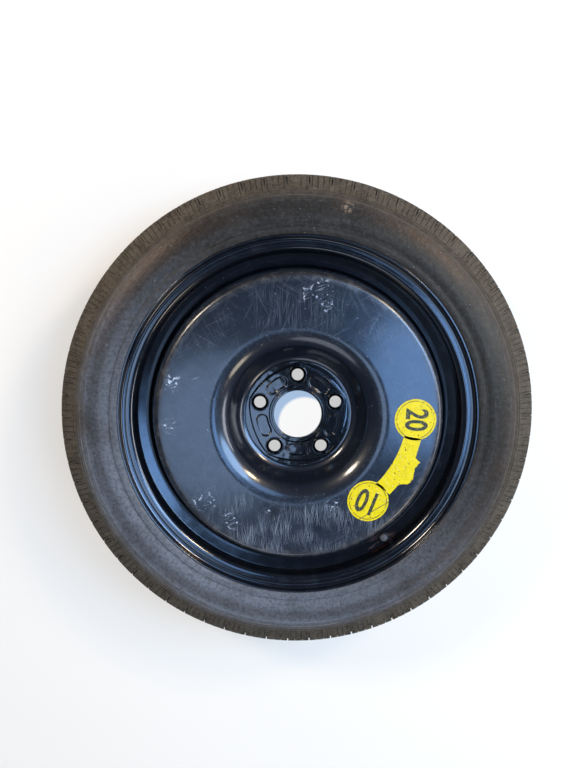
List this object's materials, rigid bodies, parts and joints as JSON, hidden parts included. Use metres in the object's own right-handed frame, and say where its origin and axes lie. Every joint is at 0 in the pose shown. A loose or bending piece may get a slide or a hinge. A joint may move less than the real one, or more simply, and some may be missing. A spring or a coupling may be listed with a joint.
{
  "type": "temporary spare wheel",
  "caption": "Narrow temporary spare wheel: a pressed steel disc welded in a rolled steel rim, with its tyre, a snap-in valve and a yellow film label.",
  "frame": {"origin": "centre of the hub bore in the face that meets the hub", "axes": "+Z along the wheel's axis towards its outboard face; +Y through a stud hole; +X across; the wheel lies with its outboard face up"},
  "size_m": [0.6318, 0.6318, 0.126],
  "materials": {
    "tyre": "moulded rubber with dust on the shoulder",
    "rim_paint": "gloss black dip coat",
    "disc_paint": "gloss black dip coat with fine scratches",
    "weld_paint": "gloss black dip coat over weld beads",
    "label_film": "yellow vinyl film, worn",
    "valve_rubber": "moulded rubber",
    "stem_brass": "turned",
    "core_brass": "turned",
    "gasket_plastic": "moulded",
    "pin_brass": "turned",
    "washer_rubber": "moulded",
    "spring_steel": "drawn wire",
    "cap_plastic": "moulded, dusty"
  },
  "bodies": {
    "wheel": {"tyre": "tyre", "rim": "rim_paint", "disc": "disc_paint", "disc_welds": "weld_paint", "label": "label_film", "valve_body": "valve_rubber", "valve_stem": "stem_brass", "core_plug": "core_brass", "core_gasket": "gasket_plastic", "core_spring": "spring_steel"},
    "pin": {"core_pin": "pin_brass", "core_washer": "washer_rubber"},
    "cap": {"valve_cap": "cap_plastic"}
  },
  "joints": [
    {"name": "pin_press", "type": "slide", "parent": "wheel", "child": "pin", "axis": [0.2149, -0.3069, -0.9272], "range_m": [0, 0.0012], "stiffness_N_per_m": 300, "springref_m": -0.001, "deforming": ["core_spring"]},
    {"name": "cap_off", "type": "slide", "parent": "wheel", "child": "cap", "axis": [-0.2149, 0.3069, 0.9272], "range_m": [0, 0.018]}
  ]
}
